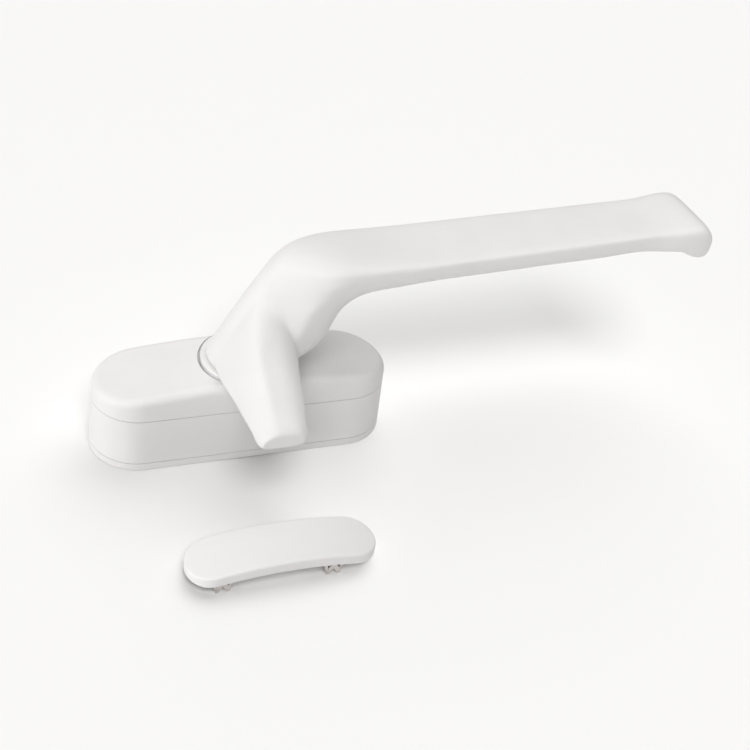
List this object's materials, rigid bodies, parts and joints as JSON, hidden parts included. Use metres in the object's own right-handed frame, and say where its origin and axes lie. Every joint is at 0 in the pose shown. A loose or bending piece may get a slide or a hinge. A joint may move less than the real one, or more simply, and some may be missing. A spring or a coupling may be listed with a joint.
{
  "type": "window turn handle",
  "caption": "White window turn handle with a long grip, a right-angled locking spur, a crowned round-ended base and a loose arched striker.",
  "frame": {"origin": "where the lever's turning axis meets the underside of the foot plate", "axes": "+Z out of the window frame along the turning axis, +X along the grip and the base's long axis, -Y along the locking spur"},
  "size_m": [0.1756, 0.073, 0.065],
  "materials": {
    "powder_coat": "satin white powder coat over a die casting",
    "white_plastic": "white moulded plastic",
    "white_nylon": "white moulded nylon",
    "striker_plastic": "satin white moulded plastic",
    "zinc_plated_steel": "bright zinc plated steel",
    "spring_steel": "grey spring steel",
    "black_steel": "black oxide steel",
    "brass": "machined brass"
  },
  "bodies": {
    "base": {"foot_plate": "white_plastic", "base_body": "powder_coat", "top_cover": "powder_coat", "mechanism_plate": "zinc_plated_steel", "collar_ring": "white_nylon", "bearing_bush": "white_nylon", "thrust_washer": "zinc_plated_steel", "disc_spring": "spring_steel", "detent_spring_front": "spring_steel", "detent_spring_back": "spring_steel", "stop_pins": "spring_steel", "cover_screws": "zinc_plated_steel", "m5_inserts": "brass"},
    "lever": {"lever": "powder_coat", "spindle": "zinc_plated_steel", "grub_screw": "black_steel", "index_cam": "zinc_plated_steel", "retaining_screw": "zinc_plated_steel", "retaining_washer": "zinc_plated_steel"},
    "striker": {"striker_body": "striker_plastic", "striker_clips": "spring_steel"}
  },
  "joints": [
    {"name": "lever_turn", "type": "hinge", "parent": "base", "child": "lever", "pos_m": [0, 0, 0], "axis": [0, 0, 1], "range_deg": [0, 90], "deforming": ["detent_spring_front", "detent_spring_back"]},
    {"name": "striker_lift", "type": "slide", "parent": "base", "child": "striker", "axis": [0, 0, 1], "range_m": [0, 0.03]}
  ]
}
